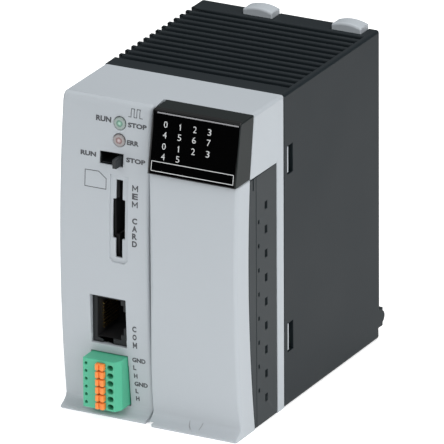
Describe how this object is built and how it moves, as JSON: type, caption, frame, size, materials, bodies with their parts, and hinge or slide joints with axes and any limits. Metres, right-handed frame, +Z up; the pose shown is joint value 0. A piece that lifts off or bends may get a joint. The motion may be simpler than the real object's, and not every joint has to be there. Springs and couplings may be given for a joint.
{
  "type": "plc module",
  "caption": "Rack-mounted controller module: ventilated dark housing, light front with indicators, ports and mode switch, and a hinged door over a screw terminal block.",
  "frame": {"origin": "middle of the footprint, on the bottom face", "axes": "+X to the right seen from the front, +Y to the rear (rack side), +Z up"},
  "size_m": [0.06, 0.1018, 0.1025],
  "materials": {
    "housing_dark": "fine matte mould texture",
    "frame_light": "satin light grey, fine mould texture",
    "display_black": "polished black, translucent to the light behind",
    "terminal_grey": "satin dark grey",
    "connector_dark": "satin black-grey",
    "knob_grey": "satin",
    "plug_green": "satin green",
    "lever_orange": "satin orange",
    "lens_green": "clear green tint",
    "lens_red": "clear red tint",
    "light_guide": "frosted clear",
    "led_resin": "clear resin",
    "board_green": "solder resist",
    "chip_black": "matte epoxy",
    "contact_gold": "plated contact",
    "tinned_metal": "tinned or nickel plated",
    "spring_steel": "drawn wire",
    "winding": "taped core",
    "capacitor_sleeve": "shrink sleeve",
    "battery_wrap": "printed wrap",
    "card_paper": "label stock"
  },
  "bodies": {
    "chassis": {"rear_housing": "housing_dark", "front_frame": "frame_light", "display_cover": "display_black", "display_light_guide": "light_guide", "display_leds": "led_resin", "display_board": "board_green", "run_led_lens": "lens_green", "fault_led_lens": "lens_red", "status_leds": "led_resin", "mode_switch_body": "connector_dark", "cpu_board": "board_green", "io_board": "board_green", "processor": "chip_black", "memory_chips": "chip_black", "card_socket": "connector_dark", "rj45_jack": "connector_dark", "rj45_contacts": "contact_gold", "bus_header": "plug_green", "bus_header_pins": "tinned_metal", "terminal_block_base": "terminal_grey", "terminal_block_shroud": "terminal_grey", "terminal_screws": "tinned_metal", "terminal_straps": "contact_gold", "terminal_clamp_plates": "tinned_metal", "terminal_retaining_screws": "tinned_metal", "terminal_header": "connector_dark", "power_board": "board_green", "power_transformer": "winding", "power_capacitors": "capacitor_sleeve", "rear_board": "board_green", "rack_connector": "connector_dark", "rack_connector_contacts": "contact_gold", "board_connectors": "connector_dark", "latch_spring_left": "spring_steel", "latch_spring_right": "spring_steel", "battery": "battery_wrap", "battery_holder": "connector_dark"},
    "terminal_door": {"terminal_door": "frame_light", "label_card": "card_paper"},
    "mode_switch_knob": {"mode_switch_knob": "knob_grey"},
    "bus_plug": {"bus_plug": "plug_green", "bus_plug_contacts": "contact_gold"},
    "latch_left": {"latch_left": "frame_light"},
    "latch_right": {"latch_right": "frame_light"},
    "battery_cover": {"battery_cover": "housing_dark"},
    "bus_plug_lever_1": {"bus_plug_lever_1": "lever_orange"},
    "bus_plug_lever_2": {"bus_plug_lever_2": "lever_orange"},
    "bus_plug_lever_3": {"bus_plug_lever_3": "lever_orange"},
    "bus_plug_lever_4": {"bus_plug_lever_4": "lever_orange"},
    "bus_plug_lever_5": {"bus_plug_lever_5": "lever_orange"},
    "bus_plug_lever_6": {"bus_plug_lever_6": "lever_orange"}
  },
  "joints": [
    {"name": "terminal_door_hinge", "type": "hinge", "parent": "chassis", "child": "terminal_door", "pos_m": [0.003, -0.0442, 0.04], "axis": [0, 0, -1], "range_deg": [0, 100]},
    {"name": "mode_switch_slide", "type": "slide", "parent": "chassis", "child": "mode_switch_knob", "axis": [-1, 0, 0], "range_m": [0, 0.005]},
    {"name": "bus_plug_pull", "type": "slide", "parent": "chassis", "child": "bus_plug", "axis": [0, -1, 0], "range_m": [0, 0.022]},
    {"name": "latch_left_press", "type": "slide", "parent": "chassis", "child": "latch_left", "axis": [0, 0, -1], "range_m": [0, 0.002], "stiffness_N_per_m": 800, "springref_m": -0.002, "deforming": ["latch_spring_left"]},
    {"name": "latch_right_press", "type": "slide", "parent": "chassis", "child": "latch_right", "axis": [0, 0, -1], "range_m": [0, 0.002], "stiffness_N_per_m": 800, "springref_m": -0.002, "deforming": ["latch_spring_right"]},
    {"name": "battery_cover_pull", "type": "slide", "parent": "chassis", "child": "battery_cover", "axis": [-1, 0, 0], "range_m": [0, 0.02]},
    {"name": "bus_plug_lever_1_press", "type": "slide", "parent": "bus_plug", "child": "bus_plug_lever_1", "axis": [0, 1, 0], "range_m": [0, 0.0012], "stiffness_N_per_m": 1000, "springref_m": -0.001},
    {"name": "bus_plug_lever_2_press", "type": "slide", "parent": "bus_plug", "child": "bus_plug_lever_2", "axis": [0, 1, 0], "range_m": [0, 0.0012], "stiffness_N_per_m": 1000, "springref_m": -0.001},
    {"name": "bus_plug_lever_3_press", "type": "slide", "parent": "bus_plug", "child": "bus_plug_lever_3", "axis": [0, 1, 0], "range_m": [0, 0.0012], "stiffness_N_per_m": 1000, "springref_m": -0.001},
    {"name": "bus_plug_lever_4_press", "type": "slide", "parent": "bus_plug", "child": "bus_plug_lever_4", "axis": [0, 1, 0], "range_m": [0, 0.0012], "stiffness_N_per_m": 1000, "springref_m": -0.001},
    {"name": "bus_plug_lever_5_press", "type": "slide", "parent": "bus_plug", "child": "bus_plug_lever_5", "axis": [0, 1, 0], "range_m": [0, 0.0012], "stiffness_N_per_m": 1000, "springref_m": -0.001},
    {"name": "bus_plug_lever_6_press", "type": "slide", "parent": "bus_plug", "child": "bus_plug_lever_6", "axis": [0, 1, 0], "range_m": [0, 0.0012], "stiffness_N_per_m": 1000, "springref_m": -0.001}
  ]
}
